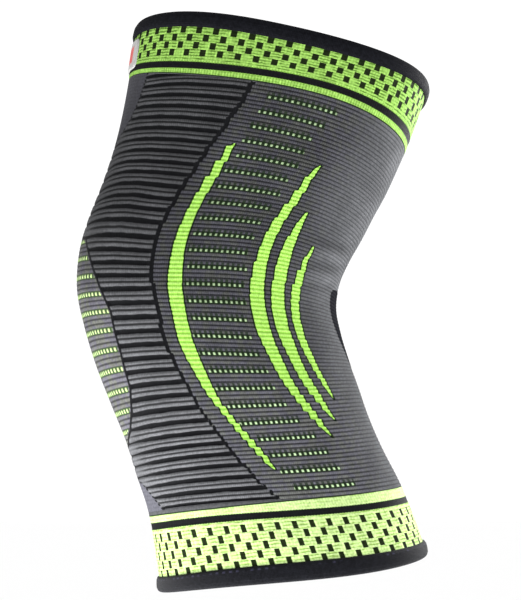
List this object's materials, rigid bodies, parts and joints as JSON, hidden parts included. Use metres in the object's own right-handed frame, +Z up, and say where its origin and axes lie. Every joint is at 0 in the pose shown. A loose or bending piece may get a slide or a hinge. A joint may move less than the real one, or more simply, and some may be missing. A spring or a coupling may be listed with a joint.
{
  "type": "knee sleeve",
  "caption": "Knitted knee sleeve in its worn, slightly bent form: a ribbed grey tube, open at both ends, with a green cuff and a black folded hem around each end.",
  "frame": {"origin": "centre of the wearer's knee, on the middle plane of the sleeve, at the height of the kneecap", "axes": "+Z up along the leg towards the thigh, -X towards the front of the knee, Y across the knee; the sleeve is the same on both sides of the plane Y = 0"},
  "size_m": [0.1693, 0.1408, 0.2703],
  "materials": {
    "grey_knit": "matt ribbed knit, with black, green and pale green yarns",
    "green_knit": "matt fine knit, with black yarns",
    "black_knit": "matt folded knit edge",
    "patch": "smooth satin patch"
  },
  "bodies": {
    "root": {"knit_tube": "grey_knit", "upper_cuff": "green_knit", "lower_cuff": "green_knit", "upper_hem": "black_knit", "lower_hem": "black_knit", "label_patch": "patch"}
  },
  "joints": []
}
